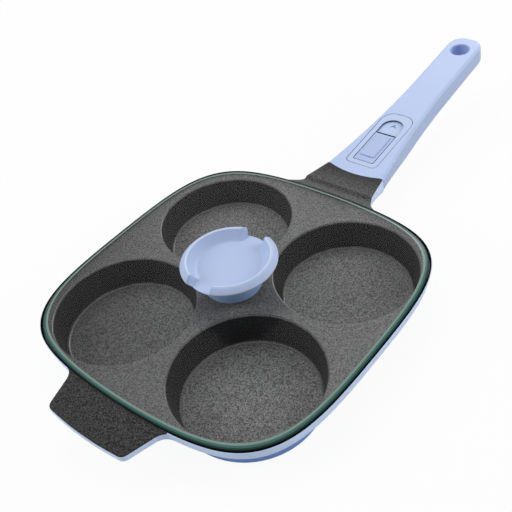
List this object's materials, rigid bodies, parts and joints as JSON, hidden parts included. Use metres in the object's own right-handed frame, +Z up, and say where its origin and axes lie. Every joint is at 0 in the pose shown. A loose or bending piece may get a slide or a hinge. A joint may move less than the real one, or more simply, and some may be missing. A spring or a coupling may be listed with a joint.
{
  "type": "egg pan",
  "caption": "Square cast egg pan with round cups, a flat glass lid with a dished knob, and a pull-off handle with a sprung thumb lock.",
  "frame": {"origin": "under the middle of the whole length, at the plane that the cup bottoms rest on", "axes": "+X along the handle away from the pan, +Y across the pan, +Z up"},
  "size_m": [0.4524, 0.2146, 0.0525],
  "materials": {
    "coated_casting": "dark speckled nonstick coating on top, pale blue enamel outside",
    "lid_glass": "clear tempered glass with a polished edge",
    "blue_plastic": "satin pale blue",
    "steel": "plain steel",
    "brass": "plain brass",
    "silicone": "matt silicone"
  },
  "bodies": {
    "pan": {"pan_body": "coated_casting"},
    "lid": {"glass_lid": "lid_glass", "lid_knob": "blue_plastic", "knob_gasket": "silicone", "knob_under_gasket": "silicone", "knob_washer": "steel", "knob_insert": "brass", "knob_screw": "steel"},
    "handle": {"handle_shell": "blue_plastic", "handle_cover": "blue_plastic", "cover_screw_1": "steel", "cover_screw_2": "steel", "clamp_frame": "steel", "frame_screw_1": "steel", "frame_screw_2": "steel", "track_bezel": "blue_plastic", "slide_spring": "steel"},
    "slider": {"lock_slider": "blue_plastic", "wedge_foot": "steel", "slider_screw": "steel"},
    "jaw": {"clamp_jaw": "steel", "jaw_pad": "silicone"}
  },
  "joints": [
    {"name": "lid_lift", "type": "slide", "parent": "pan", "child": "lid", "axis": [0, 0, 1], "range_m": [0, 0.12]},
    {"name": "handle_detach", "type": "slide", "parent": "pan", "child": "handle", "axis": [0.9929, 0, 0.1191], "range_m": [0, 0.06]},
    {"name": "lock_slide", "type": "slide", "parent": "handle", "child": "slider", "axis": [0.9929, 0, 0.1191], "range_m": [0, 0.008], "stiffness_N_per_m": 300, "deforming": ["slide_spring"]},
    {"name": "jaw_lift", "type": "slide", "parent": "handle", "child": "jaw", "axis": [-0.1191, 0, 0.9929], "range_m": [0, 0.0008]}
  ],
  "couplings": [
    {"joint": "jaw_lift", "follows": "lock_slide", "ratio": 0.1}
  ]
}
